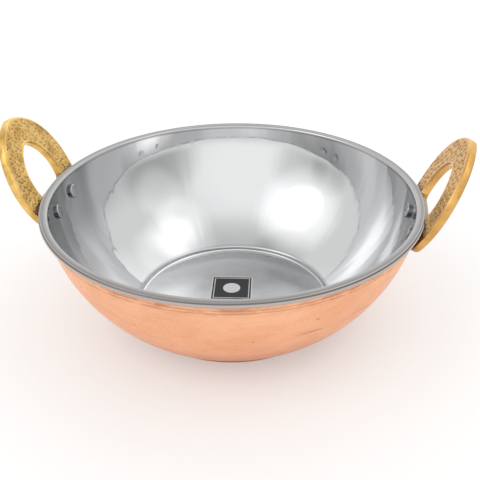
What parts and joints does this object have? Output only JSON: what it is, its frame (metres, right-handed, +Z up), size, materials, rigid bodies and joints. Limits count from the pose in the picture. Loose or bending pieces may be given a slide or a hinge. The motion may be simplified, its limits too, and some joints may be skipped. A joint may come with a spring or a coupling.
{
  "type": "balti dish",
  "caption": "Round-bottomed serving bowl with a polished steel inside, a copper shell under a rolled rim, and riveted leaf-shaped brass ring handles that lean outward.",
  "frame": {"origin": "centre of the base, on the table the dish stands on", "axes": "+Z up along the bowl's axis, +X through the right handle, -Y towards the viewer"},
  "size_m": [0.188, 0.156, 0.0821],
  "materials": {
    "steel": "mirror-polished stainless steel inside, satin on the floor and rim",
    "copper": "satin-polished copper with fine turning marks",
    "brass": "cast brass, punched faces and smooth edges",
    "rivet_steel": "plain steel rivets",
    "label": "black sticker with a pale border"
  },
  "bodies": {
    "root": {"inner_bowl": "steel", "outer_shell": "copper", "handle_left": "brass", "handle_right": "brass", "rivet_left_front": "rivet_steel", "rivet_left_rear": "rivet_steel", "rivet_right_front": "rivet_steel", "rivet_right_rear": "rivet_steel", "base_label": "label"}
  },
  "joints": []
}
